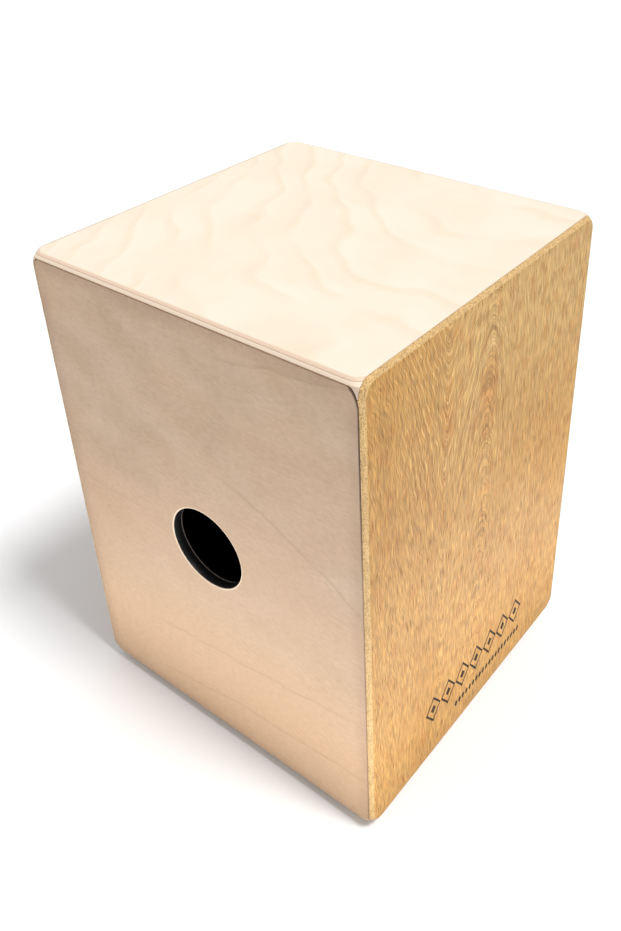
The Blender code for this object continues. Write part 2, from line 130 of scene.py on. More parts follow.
def carved(name, mesh, steps):
    """A new object: the mesh with (operation, helper object) steps applied to it in turn."""
    blank = add_object(f"{name}_blank", mesh)
    for operation, other in steps:
        modifier = blank.modifiers.new(operation, "BOOLEAN")
        modifier.operation = operation
        modifier.solver = "EXACT"
        modifier.object = other
    result = baked(blank)
    bpy.data.objects.remove(blank, do_unlink=True)
    result.name = name
    return add_object(name, result)


def minus(helpers):
    """Steps for carved that cut each helper away."""
    return [("DIFFERENCE", helper) for helper in helpers]


def drop(*objects):
    for obj in objects:
        bpy.data.objects.remove(obj, do_unlink=True)


def box_mesh(name, low, high, round_edges=0.0, segments=3):
    low, high = Vector(low), Vector(high)

    def build(bm):
        bmesh.ops.create_cube(bm, size=1.0)
        bmesh.ops.scale(bm, vec=high - low, verts=bm.verts)
        bmesh.ops.translate(bm, vec=(low + high) / 2, verts=bm.verts)
        if round_edges:
            bmesh.ops.bevel(
                bm, geom=bm.edges[:], offset=round_edges, segments=segments, affect="EDGES", profile=0.5
            )

    return mesh_from(name, build)


def turned_mesh(name, profile, sides, matrix=Matrix()):
    """(radius, height) points turned about Z, and then placed. Points at radius 0 close its ends."""

    def build(bm):
        points = [bm.verts.new((radius, 0.0, height)) for radius, height in profile]
        edges = [bm.edges.new(pair) for pair in zip(points, points[1:])]
        bmesh.ops.spin(
            bm,
            geom=points + edges,
            cent=(0, 0, 0),
            axis=(0, 0, 1),
            angle=2 * math.pi,
            steps=sides,
            use_merge=True,
        )
        bmesh.ops.remove_doubles(bm, verts=bm.verts, dist=1e-7)
        bmesh.ops.transform(bm, matrix=matrix, verts=bm.verts)

    return mesh_from(name, build)


def rounded_outline(half_w, low, high, top_corners, foot_corner, inset=0.0, steps=16):
    """Points of a rectangle in X and Z, drawn in by inset. Corners are quarter ellipses (width, height)."""
    right, left = top_corners
    corners = [(1, high, -1, right, 0), (-1, high, -1, left, 90)]
    corners += [(-1, low, 1, foot_corner, 180), (1, low, 1, foot_corner, 270)]
    points = []
    for side, end, inward, (width, height), start in corners:
        x, z = side * (half_w - width), end + inward * height
        for step in range(steps + 1):
            angle = math.radians(start + 90 * step / steps)
            points.append((x + (width - inset) * math.cos(angle), z + (height - inset) * math.sin(angle)))
    return points


def stacked_mesh(name, layers):
    """Outlines in X and Z with the same number of points, each at its own Y, skinned and capped."""

    def build(bm):
        rows = [[bm.verts.new((x, y, z)) for x, z in outline] for y, outline in layers]
        for lower, upper in zip(rows, rows[1:]):
            for index in range(len(lower)):
                after = (index + 1) % len(lower)
                bm.faces.new((lower[index], lower[after], upper[after], upper[index]))
        bm.faces.new(rows[0])
        bm.faces.new(rows[-1])

    return mesh_from(name, build)


# The rounded case


def rounded_distance(point, half, inset, radius):
    out = [max(abs(p) - (h - inset), 0.0) for p, h in zip(point, half)]
    inside = min(max(abs(p) - (h - inset) for p, h in zip(point, half)), 0.0)
    return math.sqrt(sum(value * value for value in out)) + inside - radius


def case_distance(point, half):
    """Distance to the case: rounded edges, and corners that a larger ball cuts."""
    edges = rounded_distance(point, half, EDGE_R, EDGE_R)
    corners = rounded_distance(point, half, CORNER_R, CORNER_R * math.sqrt(2))
    overlap = max(CORNER_BLEND - abs(edges - corners), 0.0) / CORNER_BLEND
    return max(edges, corners) + overlap * overlap * CORNER_BLEND / 4


def case_point(point, half):
    """The point of the sharp box drawn in to the case's surface."""
    anchor = [max(-(h - CORNER_R), min(h - CORNER_R, p)) for p, h in zip(point, half)]
    if case_distance(point, half) < 1e-9:
        return point
    low, high = 0.0, 1.0
    for _ in range(30):
        middle = (low + high) / 2
        trial = [a + (p - a) * middle for a, p in zip(anchor, point)]
        if case_distance(trial, half) > 0:
            high = middle
        else:
            low = middle
    return [a + (p - a) * low for a, p in zip(anchor, point)]


def case_mesh():
    """The whole outer shape as a fine grid on a box, drawn in to the rounded case."""
    half = (HALF_W, HALF_D, HALF_H)
    offsets = [EDGE_R * step / EDGE_STEPS for step in range(EDGE_STEPS + 1)]
    first = EDGE_R + GAP
    offsets += [first + (CORNER_R - first) * step / CORNER_STEPS for step in range(CORNER_STEPS + 1)]
    lines = [[-h + o for o in offsets] + [h - o for o in reversed(offsets)] for h in half]
    last = len(lines[0]) - 1

    def build(bm):
        made = {}

        def vertex(index):
            if index not in made:
                point = [lines[axis][index[axis]] for axis in range(3)]
                x, y, z = case_point(point, half)
                made[index] = bm.verts.new((x, y, z + MID_Z))
            return made[index]

        for axis in range(3):
            across, along = [other for other in range(3) if other != axis]
            for side in (0, last):
                for i in range(last):
                    for j in range(last):
                        quad = []
                        for di, dj in ((0, 0), (1, 0), (1, 1), (0, 1)):
                            index = [0, 0, 0]
                            index[axis] = side
                            index[across] = i + di
                            index[along] = j + dj
                            quad.append(vertex(tuple(index)))
                        bm.faces.new(quad)
        bmesh.ops.triangulate(bm, faces=bm.faces[:])

    return mesh_from("case", build)


# Materials


class Field:
    """A number that varies over a surface: one output of a material node."""

    def __init__(self, look, socket):
        self.look = look
        self.socket = socket

    def _do(self, kind, *others):
        return self.look.math(kind, self, *others)

    def __add__(self, other):
        return self._do("ADD", other)

    __radd__ = __add__

    def __sub__(self, other):
        return self._do("SUBTRACT", other)

    def __rsub__(self, other):
        return self.look.math("SUBTRACT", other, self)

    def __mul__(self, other):
        return self._do("MULTIPLY", other)

    __rmul__ = __mul__

    def __truediv__(self, other):
        return self._do("DIVIDE", other)

    def __abs__(self):
        return self._do("ABSOLUTE")

    def root(self):
        return self._do("SQRT")

    def fraction(self):
        return self._do("FRACT")

    def least(self, other):
        return self._do("MINIMUM", other)

    def most(self, other):
        return self._do("MAXIMUM", other)

    def step(self, low, high):
        """0 below low and 1 above high, with a smooth rise. The other way round where low is the larger."""
        node = self.look.add("ShaderNodeMapRange")
        node.interpolation_type = "SMOOTHSTEP"
        self.look.join(self, node.inputs["Value"])
        flipped = low > high
        node.inputs["From Min"].default_value = min(low, high)
        node.inputs["From Max"].default_value = max(low, high)
        node.inputs["To Min"].default_value = 1.0 if flipped else 0.0
        node.inputs["To Max"].default_value = 0.0 if flipped else 1.0
        return Field(self.look, node.outputs["Result"])


class Look:
    """A material being made. x, y and z are the place on the object, in millimetres."""

    def __init__(self, name, seed=0.0):
        self.material = bpy.data.materials.new(name)
        self.material.use_nodes = True
        self.tree = self.material.node_tree
        self.shader = self.tree.nodes["Principled BSDF"]
        self.seed = seed
        coords = self.add("ShaderNodeTexCoord")
        split = self.add("ShaderNodeSeparateXYZ")
        self.tree.links.new(coords.outputs["Object"], split.inputs[0])
        self.x, self.y, self.z = (Field(self, split.outputs[axis]) * 1000.0 for axis in "XYZ")

    def add(self, kind):
        return self.tree.nodes.new(kind)

    def join(self, value, socket):
        if isinstance(value, Field):
            self.tree.links.new(value.socket, socket)
        elif isinstance(value, tuple):
            socket.default_value = value if len(socket.default_value) == 3 else (*value, 1.0)
        else:
            socket.default_value = value

    def math(self, kind, *values):
        node = self.add("ShaderNodeMath")
        node.operation = kind
        for value, socket in zip(values, node.inputs):
            self.join(value, socket)
        return Field(self, node.outputs[0])

    def place(self, x, y, z):
        node = self.add("ShaderNodeCombineXYZ")
        for value, socket in zip((x, y, z), node.inputs):
            self.join(value, socket)
        return node.outputs[0]

    def noise(self, x, y, z=0.0, detail=2.0, rough=0.5, distort=0.0):
        """Noise from 0 to 1, about 0.5, with features about one unit across."""
        node = self.add("ShaderNodeTexNoise")
        node.inputs["Scale"].default_value = 1.0
        node.inputs["Detail"].default_value = detail
        node.inputs["Roughness"].default_value = rough
        node.inputs["Distortion"].default_value = distort
        depth = z if isinstance(z, Field) else z + self.seed
        self.tree.links.new(self.place(x, y, depth), node.inputs["Vector"])
        return Field(self, node.outputs["Fac"])

    def mix(self, share, first, second):
        node = self.add("ShaderNodeMix")
        node.data_type = "RGBA"
        node.clamp_factor = True
        self.join(share, node.inputs["Factor"])
        self.join(first, node.inputs[6])
        self.join(second, node.inputs[7])
        return Field(self, node.outputs[2])

    def shade(self, colour, factor):
        """A colour made lighter or darker by a factor."""
        node = self.add("ShaderNodeVectorMath")
        node.operation = "SCALE"
        self.join(colour, node.inputs[0])
        self.join(factor, node.inputs["Scale"])
        return Field(self, node.outputs[0])

    def finish(self, colour, roughness, height=None, **constants):
        """Colour, roughness, and height in millimetres for the bump. The rest are the shader's own values."""
        self.join(colour, self.shader.inputs["Base Color"])
        self.join(roughness, self.shader.inputs["Roughness"])
        for name, value in constants.items():
            self.shader.inputs[name.replace("_", " ")].default_value = value
        if height is not None:
            node = self.add("ShaderNodeBump")
            node.inputs["Strength"].default_value = 1.0
            node.inputs["Distance"].default_value = MM
            self.join(height, node.inputs["Height"])
            self.tree.links.new(node.outputs["Normal"], self.shader.inputs["Normal"])
        return self.material


def srgb(red, green, blue):
    """A colour given as 0 to 255 display values, as the linear values that materials take."""
    parts = []
    for value in (red, green, blue):
        value /= 255
        parts.append(value / 12.92 if value <= 0.04045 else ((value + 0.055) / 1.055) ** 2.4)
    return tuple(parts)


INSIDE_BLACK = srgb(24, 20, 17)
GLUE_LINE = srgb(150, 118, 92)
OAK_LIGHT = srgb(187, 142, 76)
OAK_MIDDLE = srgb(179, 133, 67)
OAK_ORANGE = srgb(172, 112, 46)
OAK_PALE = srgb(214, 178, 118)
OAK_UPPER_PALE = srgb(192, 158, 100)
OAK_DARK = srgb(142, 97, 49)
OAK_PORE = srgb(104, 68, 32)
CREST_RING = 21.8
KNOT, BURNT = srgb(84, 56, 34), srgb(36, 22, 12)
BACK_LIGHT, BACK_DARK = srgb(194, 167, 142), srgb(183, 155, 128)
BACK_ROSE, BACK_WARM = srgb(193, 160, 128), srgb(198, 162, 126)
# The third colour is painted shade for the gap at the panel's right edge
BACK_LINE, BACK_GRIME_AND_SHADE, BACK_GAP_SHADE = srgb(130, 98, 72), srgb(138, 102, 76), srgb(66, 44, 28)
# The second colour is a painted highlight for the hole's inner arris
BARE_ARRIS, INNER_ARRIS_GLINT = srgb(244, 222, 196), srgb(186, 170, 160)
LINE_SHARP, LINE_SOFT = 0.5, 4.5


def darken_inside(look, colour, roughness, inside):
    """The matt near-black colour on the faces that look into the box."""
    cloud = look.noise(look.x / 14, look.y / 14, look.z / 14)
    inside_tone = look.shade(INSIDE_BLACK, cloud * 0.6 + 0.7)
    return look.mix(inside, colour, inside_tone), inside * (0.85 - roughness) + roughness


# The mark burned low on one side: a border of lozenges with solid hearts, sizes in millimetres
MARK_FROM, MARK_PITCH, MARK_COUNT = -74.0, 21.4, 7
MARK_Z, MARK_HALF_W, MARK_HEART = FOOT_H / MM + 55.0, 9.4, 3.4
MARK_TALL = 0.72
MARK_LINE = 1.05
DOT_Z, DOT_PITCH, DOT_HALF_W = FOOT_H / MM + 27.0, 5.35, 2.1
DOT_FIRST, DOT_LAST = 8, 28


def burned_mark(look):
    """A row of lozenges with solid hearts over a row of small solid ones. 1 where burned."""
    along = (look.y - MARK_FROM) / MARK_PITCH
    across = abs(along.fraction() - 0.5) * MARK_PITCH
    reach = across + abs(look.z - MARK_Z) * MARK_TALL
    lines = abs(reach - MARK_HALF_W).step(MARK_LINE + 0.25, MARK_LINE - 0.2)
    lines = lines.most(reach.step(MARK_HEART + 0.25, MARK_HEART - 0.2))
    half = MARK_COUNT / 2
    lines = lines * abs(along - half).step(half + 0.001, half - 0.001)
    cell = abs(((look.y - MARK_FROM) / DOT_PITCH).fraction() - 0.5) * DOT_PITCH
    dots = (cell + abs(look.z - DOT_Z) * 0.5).step(DOT_HALF_W + 0.2, DOT_HALF_W - 0.25)
    dots = dots * (look.y - (MARK_FROM + DOT_FIRST * DOT_PITCH)).step(-0.01, 0.01)
    dots = dots * (look.y - (MARK_FROM + DOT_LAST * DOT_PITCH)).step(0.01, -0.01)
    fade = look.noise(look.y / 5, look.z / 5, 4.0) * 0.4 + 0.8
    return (lines.most(dots) * fade).least(1.0)


def oak(name, side, marked):
    """Open-pored wood, grain up Z: one tall figure near the top, paler towards its upper right."""
    look = Look(name, seed=3.0 if side > 0 else 41.0)
    x, y, z = look.x, look.y, look.z
    down = TOP_Z / MM - z
    if side < 0:
        y = 0.0 - y

    # How the growth rings run: valleys at the left, an arch beside them, and straight to the right
    sway = (look.noise(y / 60, z / 170, 1.0) - 0.5) * 14.0 + (look.noise(y / 12, z / 24, 7.0) - 0.5) * 4.0
    across = y + sway
    low = across + 56.0
    arch = across + 5.0
    wave = (low * low + 14.0).root() - (arch * arch + 190.0).root() - across
    right = across.step(2.0, 60.0)
    fall = down * 0.012 + (1.0 - look.math("EXPONENT", down * (-1 / 120.0))) * 21.0
    rings = wave * 0.36 + fall * (1.0 - right * 0.9) + (look.noise(y / 16, z / 26, 2.0) - 0.5) * 1.9
    figure = down.step(150.0, 95.0) * y.step(-118.0, -92.0) * y.step(40.0, 14.0)
    band = look.noise(rings * 1.15, z / 200, 5.0, detail=2.0, rough=0.6)
    ring = abs((rings * 0.6 + 0.5).fraction() - 0.5) * 2.0
    pale_line = (ring + band * 0.7).step(0.74, 0.48) * figure * y.step(-8.0, -26.0)
    crest = abs(rings - CREST_RING).step(0.6, 0.15) * y.step(-42.0, -30.0) * y.step(32.0, 18.0)
    pale_line = pale_line.most(crest * figure * down.step(112.0, 80.0)).most(band.step(0.55, 0.66) * 0.2)
    dark_line = band.step(0.46, 0.37) * (figure * 0.6 + 0.4)

    # The fibres: dashes along the rings, with finer flecks and open pores
    dash = look.noise(rings * 4.6, z / 14.0, 9.0, detail=1.5, rough=0.6).step(0.36, 0.64)
    fleck = look.noise(across * 2.1, z / 14.0, 11.0, detail=1.5, rough=0.6).step(0.34, 0.66)
    streak = look.noise(across * 0.5, z / 80, 13.0, detail=3.0, rough=0.65)
    pores = look.noise(across * 1.6, z / 15.0, 15.0, detail=1.0, rough=0.5).step(0.57, 0.67)
    patch = look.noise(y / 9, z / 17, 19.0, detail=2.0).step(0.50, 0.66)
    cloud = look.noise(y / 55, z / 120, 21.0, detail=2.0)
    colour = look.mix(cloud.step(0.35, 0.7), OAK_LIGHT, OAK_MIDDLE)
    # Paler and less saturated towards the top and the upper right
    colour = look.mix(down.step(190.0, 30.0) * y.step(-85.0, -15.0) * 0.75, colour, OAK_UPPER_PALE)
    colour = look.mix(patch * 0.4, colour, OAK_ORANGE)
    for middle, depth, half_w, half_h in ((-3.0, 84.0, 17.0, 46.0), (-54.0, 78.0, 12.0, 30.0)):
        off = ((across - middle) / half_w, (down - depth) / half_h)
        heart = (off[0] * off[0] + off[1] * off[1]).step(1.0, 0.1)
        colour = look.mix(heart * 0.42, colour, OAK_ORANGE)
    colour = look.mix(pale_line * (fleck * 0.3 + 0.33), colour, OAK_PALE)
    colour = look.mix(dark_line * 0.4, colour, OAK_DARK)
    tone = (dash - 0.5) * 0.42 + (fleck - 0.5) * 0.38 + (streak - 0.5) * 0.7 + 1.0
    colour = look.shade(colour, tone)
    colour = look.mix(pores * 0.5, colour, OAK_PORE)
    joint = abs(y - 27.0 - sway * 0.12).step(1.6, 0.3) * (streak * 0.8 + 0.2)
    colour = look.mix(joint * 0.25, colour, OAK_PORE)
    knot = look.noise(y / 3.4, z / 4.4, 33.0).step(0.795, 0.83)
    colour = look.mix(knot * 0.8, colour, KNOT)
    roughness = 0.5 + pores * 0.2 + (streak - 0.5) * 0.15
    height = (0.0 - pores) * 0.10 + (fleck - 0.5) * 0.03

    # Rounded edges cut across the fibres: paler, with the pores as specks
    depth = HALF_W / MM - x * side
    edge = depth.step(0.02, 0.5)
    speck = look.noise(x * 1.4, y * 1.4, z * 0.9, detail=2.0, rough=0.7)
    dark_speck = speck.step(0.52, 0.62)
    tint = look.noise(x / 3, y / 3, z / 9).step(0.35, 0.65)
    pale = srgb(226, 188, 130) if side > 0 else srgb(226, 204, 168)
    worn = look.mix(tint, pale, look.shade(pale, 0.84))
    worn = look.mix(dark_speck * 0.6, worn, srgb(118, 82, 42))
    worn = look.mix(speck.step(0.42, 0.32) * 0.6, worn, srgb(238, 212, 164))
    colour = look.mix(edge * 0.92, colour, worn)
    height = height - dark_speck * edge * 0.15

    if marked:
        mark = burned_mark(look)
        colour = look.mix(mark, colour, BURNT)
        roughness = roughness + mark * 0.25
        height = height - mark * 0.35
    inside = (abs(x) - SIDE_INNER / MM).step(0.25, 0.1)
    colour, roughness = darken_inside(look, colour, roughness, inside)
    return look.finish(colour, roughness, height, Specular_IOR_Level=0.25)


def contour(field):
    """A growth line where field passes 0: a sharp side and a side that fades."""
    return field.step(-LINE_SHARP, 0.0) * field.step(LINE_SOFT, 0.0)


def corner_gap_shade(x, z):
    """Painted shade of the gap along the rounded upper +X corner: 1 near the quarter ellipse of the panel's
    outline.
    """
    width, height = (size / MM for size in BACK_CORNERS[0])
    over = (x - (BACK_HALF_W / MM - width)) / width
    up = (z - (BACK_TOP / MM - height)) / height
    near = (over * over + up * up).root().step(0.86, 0.95)
    return near * over.step(0.0, 0.35) * up.step(-0.1, 0.1)


def birch_back():
    """Rotary-cut birch, grain along X, softly clouded, with a few long growth lines."""
    look = Look("birch_back", seed=5.0)
    x, y, z = look.x, look.y, look.z
    fibre = look.noise(x / 9, z * 1.25, 1.0, detail=3.0, rough=0.7)
    cloud = look.noise(x / 46, z / 34, 3.0, detail=2.0, rough=0.5)
    mottle = look.noise(x / 5, z / 3.4, 6.0, detail=3.0, rough=0.6)
    broad = look.noise(x / 140, z / 90, 8.0)
    colour = look.mix(cloud.step(0.3, 0.7), BACK_LIGHT, BACK_DARK)
    colour = look.mix(broad.step(0.4, 0.62) * 0.5, colour, BACK_ROSE)
    colour = look.mix(z.step(300.0, 60.0) * 0.8, colour, BACK_WARM)
    tone = (fibre - 0.5) * 0.50 + (mottle - 0.5) * 0.34 + 1.0
    colour = look.shade(colour, tone)
    bend = (look.noise(x / 30, z / 30, 12.0) - 0.5) * 9.0
    up = z - FOOT_H / MM
    lines = None
    for start, slope, curve, low, high, strength in (
        (375.0, 0.17, 0.0, 30.0, 150.0, 0.85),
        (283.0, -0.22, -0.0016, 20.0, 150.0, 1.0),
        (94.0, 0.12, 0.0, -70.0, 140.0, 0.75),
        (39.0, 0.13, -0.0003, -75.0, 145.0, 0.8),
        (214.0, 0.09, 0.0004, -150.0, -60.0, 0.5),
    ):
        field = up - x * slope - x * x * curve + bend - start
        field = field + 12.0 * slope
        line = contour(field) * x.step(low - 8, low + 18) * x.step(high + 8, high - 18) * strength
        lines = line if lines is None else lines.most(line)
    lines = lines * (look.noise(x / 16, z / 16, 17.0) * 0.9 + 0.3)
    colour = look.mix(lines * 0.30, colour, BACK_LINE)
    height = (fibre - 0.5) * 0.03

    # A slightly darker border, partly thumbed grime and partly painted shade cast by the lips round the
    # panel, and a pale arris
    to_side = BACK_HALF_W / MM - abs(x)
    to_end = (z - BACK_FOOT / MM).least(BACK_TOP / MM - z)
    rim = to_side.least(to_end)
    # Grime and painted shade: the panel darkened within 14 mm of its edges
    grime_and_shade = rim.step(14.0, 0.5) * (look.noise(x / 20, z / 20, 23.0) * 0.8 + 0.2)
    colour = look.mix(grime_and_shade * 0.40, colour, BACK_GRIME_AND_SHADE)
    # Painted shade of the gap between the back and the right side's rim, stronger towards the top
    gap_shade = rim.step(1.3, 0.5) * x.step(BACK_HALF_W / MM - 9.0, BACK_HALF_W / MM - 5.0)
    gap_shade = gap_shade * (z.step(BACK_TOP / MM - 170.0, BACK_TOP / MM - 60.0) * 0.65 + 0.3)
    gap_shade = gap_shade.most(corner_gap_shade(x, z) * 0.9) * (look.noise(x / 3, z / 12, 27.0) * 0.5 + 0.65)
    depth = y + HALF_D / MM
    cut = depth.step(0.1, 0.35)
    layer = (depth / 1.8).fraction()
    plies = look.mix(layer.step(0.44, 0.5) * layer.step(0.62, 0.56), srgb(214, 178, 138), GLUE_LINE)
    colour = look.mix(cut, colour, plies)
    colour = look.mix(gap_shade.least(1.0), colour, BACK_GAP_SHADE)

    # The hole: black-painted wall, bare arris outside, and a painted glint on the arris inside
    up_hole = z - HOLE_Z / MM
    radius = (x * x + up_hole * up_hole).root()
    near = radius.step(HOLE_R / MM + 4.0, HOLE_R / MM + 2.0)
    bare = near * radius.step(HOLE_R / MM + 1.5, HOLE_R / MM + 0.7) * depth.step(0.9, 0.55)
    colour = look.mix(bare, colour, BARE_ARRIS)
    paint_edge = HOLE_ARRIS / MM * 0.75 + (look.noise(x / 2, y / 2, z / 2, detail=3.0) - 0.5) * 0.35
    painted = near * (depth - paint_edge).step(-0.06, 0.06)
    blot = look.noise(x * 0.8, y * 0.8, z * 0.8, detail=3.0, rough=0.7)
    wall_colour = look.mix(blot.step(0.45, 0.72), srgb(15, 15, 16), srgb(40, 40, 43))
    # Painted highlight: a pale grey line along the hole's inner arris
    inner_glint = (depth - (BACK_INNER + HALF_D) / MM + HOLE_ARRIS / MM).step(-0.45, 0.0)
    wall_colour = look.mix(inner_glint * 0.9, wall_colour, INNER_ARRIS_GLINT)
    colour = look.mix(painted, colour, wall_colour)
    roughness = (mottle - 0.5) * 0.14 + 0.56
    roughness = roughness * (1.0 - painted) + painted * 0.42
    height = height * (1.0 - painted) + painted * blot * 0.18
    inside = (y - BACK_INNER / MM).step(-0.08, -0.02)
    colour, roughness = darken_inside(look, colour, roughness, inside)
    return look.finish(colour, roughness, height)


def birch_seat():
    """Pale rotary-cut birch with faint flowing growth lines, and its plies bared at the rounded edge."""
    look = Look("birch_seat", seed=8.0)
    x, y, z = look.x, look.y, look.z
    bend = (look.noise(x / 130, y / 130, 1.0) - 0.5) * 120.0
    bend = bend + (look.noise(x / 45, y / 45, 4.0) - 0.5) * 10.0
    flow = (y * 0.72 + x * 0.66 - x * x * 0.0024 + bend) / 37.0
    part = flow.fraction()
    line = part.step(0.18, 0.5) * part.step(0.66, 0.5)
    glow = part.step(0.5, 0.68) * part.step(1.0, 0.66)
    presence = look.noise(x / 70, y / 70, 9.0, detail=1.0).step(0.25, 0.6)
    fibre = look.noise(x * 1.2, y / 14, 12.0, detail=3.0, rough=0.65)
    cloud = look.noise(x / 60, y / 60, 15.0, detail=2.0)
    mottle = look.noise(x / 8, y / 8, 18.0, detail=2.0)
    colour = look.mix(cloud.step(0.35, 0.65), srgb(234, 223, 205), srgb(232, 219, 199))
    colour = look.mix(line * presence * 0.22, colour, srgb(220, 192, 156))
    colour = look.mix(glow * presence * 0.25, colour, srgb(238, 230, 214))
    colour = look.shade(colour, (fibre - 0.5) * 0.05 + (mottle - 0.5) * 0.035 + 1.0)

    depth = TOP_Z / MM - z + (look.noise(x / 9, y * 2, 22.0) - 0.5) * 0.12
    second = depth.step(0.10, 0.20)
    glue = depth.step(1.45, 1.58) * depth.step(1.95, 1.8)
    third = depth.step(1.7, 1.8)
    ends = look.noise(x * 1.3, y * 0.6, z * 2.0, detail=2.0)
    pink = look.mix(ends, srgb(228, 204, 182), srgb(220, 192, 168))
    cream = look.mix(ends, srgb(246, 228, 206), srgb(238, 214, 188))
    colour = look.mix(second, colour, pink)
    colour = look.mix(third, colour, cream)
    colour = look.mix(glue * 0.6, colour, srgb(160, 132, 108))
    # Painted shade: the lower edge of the seat's lip darkened at its seam with the panels below
    lower = (depth - TOP_LIP / MM).step(-1.0, -0.4)
    colour = look.mix(lower * 0.45, colour, srgb(150, 120, 94))
    inside = (z - SEAT_UNDER / MM).step(0.25, 0.1)
    roughness = (mottle - 0.5) * 0.12 + 0.5
    colour, roughness = darken_inside(look, colour, roughness, inside)
    return look.finish(colour, roughness, (fibre - 0.5) * 0.02)


def birch_sheet(name, seed, inside_from, inside_to, axis):
    """Natural birch for the playing face and the floor, with growth lines along Z or Y."""
    look = Look(name, seed=seed)
    x = look.x
    along = look.z if axis == "Y" else look.y
    bend = (look.noise(x / 80, along / 260, 2.0) - 0.5) * 70.0
    bend = bend + (look.noise(x / 14, along / 45, 4.0) - 0.5) * 4.0
    band = look.noise((x + bend) / 7.0, along / 400, 7.0, detail=2.0, rough=0.6)
    line = band.step(0.50, 0.62)
    presence = look.noise(x / 40, along / 150, 9.0).step(0.32, 0.66)
    fibre = look.noise(x * 1.7, along / 16, 12.0, detail=3.0, rough=0.65)
    mottle = look.noise(x / 5, along / 11, 18.0, detail=2.0)
    cloud = look.noise(x / 45, along / 90, 15.0)
    colour = look.mix(cloud.step(0.35, 0.65), srgb(238, 212, 176), srgb(229, 200, 163))
    colour = look.mix(line * (presence * 0.26 + 0.08), colour, srgb(198, 156, 112))
    colour = look.shade(colour, (fibre - 0.5) * 0.16 + (mottle - 0.5) * 0.08 + 1.0)
    through = look.y if axis == "Y" else look.z
    inside = (through - inside_from).step(0.0, inside_to)
    roughness = (mottle - 0.5) * 0.12 + 0.46
    if axis == "Y":
        depth = HALF_D / MM - look.y
        core = depth.step(0.75, 0.85) * depth.step(2.25, 2.15)
        glue = depth.step(0.66, 0.74) * depth.step(0.92, 0.84)
        glue = glue.most(depth.step(2.08, 2.16) * depth.step(2.34, 2.26))
        specks = look.noise(x * 1.4, look.y * 1.4, along * 1.4, detail=2.0)
        colour = look.mix(core, colour, look.mix(specks, srgb(214, 176, 136), srgb(192, 150, 110)))
        colour = look.mix(glue * 0.7, colour, srgb(140, 104, 76))
    colour, roughness = darken_inside(look, colour, roughness, inside)
    return look.finish(colour, roughness, (fibre - 0.5) * 0.03)


def solid_wood(name, light, dark, axis, dark_inside_share=0.0, seed=2.0):
    """Solid timber for the pieces inside, grain along one axis, with short dark rays."""
    look = Look(name, seed=seed)
    along, first, second = {
        "X": (look.x, look.y, look.z),
        "Y": (look.y, look.z, look.x),
        "Z": (look.z, look.x, look.y),
    }[axis]
    rings = look.noise(first / 3, second / 3, along / 90, detail=2.0, distort=0.6)
    fibre = look.noise(first * 1.8, second * 1.8, along / 9, detail=2.0)
    rays = look.noise(first * 2.2, second * 2.2, along / 1.6, detail=1.0).step(0.60, 0.72)
    colour = look.mix(rings.step(0.35, 0.65), light, dark)
    colour = look.shade(colour, (fibre - 0.5) * 0.3 + 1.0)
    colour = look.mix(rays * 0.35, colour, look.shade(dark, 0.55))
    roughness = (fibre - 0.5) * 0.2 + 0.6
    if dark_inside_share:
        colour, roughness = darken_inside(look, colour, roughness, dark_inside_share)
    return look.finish(colour, roughness, (fibre - 0.5) * 0.05 - rays * 0.03)


def rubber():
    look = Look("foot_rubber")
    grain = look.noise(look.x * 1.6, look.y * 1.6, look.z * 1.6, detail=3.0, rough=0.7)
    dust = look.noise(look.x / 5, look.y / 5, look.z / 3, detail=2.0).step(0.45, 0.8)
    colour = look.mix(dust * 0.35, srgb(30, 30, 31), srgb(84, 80, 76))
    return look.finish(colour, (grain - 0.5) * 0.2 + 0.72, grain * 0.05)


def metal(name, colour, rough):
    look = Look(name)
    haze = look.noise(look.x / 2, look.y / 2, look.z / 2, detail=3.0)
    fine = look.noise(look.x * 5, look.y * 5, look.z * 5, detail=1.0)
    tint = look.shade(colour, (haze - 0.5) * 0.3 + 1.0)
    return look.finish(tint, (haze - 0.5) * 0.3 + rough, (fine - 0.5) * 0.01, Metallic=1.0)


# The box


def panel(name, node, low, high, steps, material, case):
    obj = carved(name, box_mesh(name, low, high), [("INTERSECT", case)] + steps)
    dress(obj, node, material)
    return obj


def dress(obj, nodes, material, body="case", degrees=30):
    """Gives a piece its material and its body, and hides the CAD nodes that it stands for."""
    obj.data.materials.clear()
    obj.data.materials.append(material)
    obj.data.shade_smooth()
    obj.data.set_sharp_from_angle(angle=math.radians(degrees))
    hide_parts(*([nodes] if isinstance(nodes, str) else nodes))
    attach(obj, body)


def turn_to(direction):
    return Vector((0, 0, -1)).rotation_difference(Vector(direction)).to_matrix().to_4x4()


def node_middle(node):
    low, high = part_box(node)
    return (low + high) / 2


class Screw:
    """One kind of screw. Its sizes are the part's."""

    def __init__(self, head_r, head_h, shank_r, length, sunk):
        self.head_r, self.head_h = head_r * MM, head_h * MM
        self.shank_r, self.length = shank_r * MM, length * MM
        self.sunk = sunk


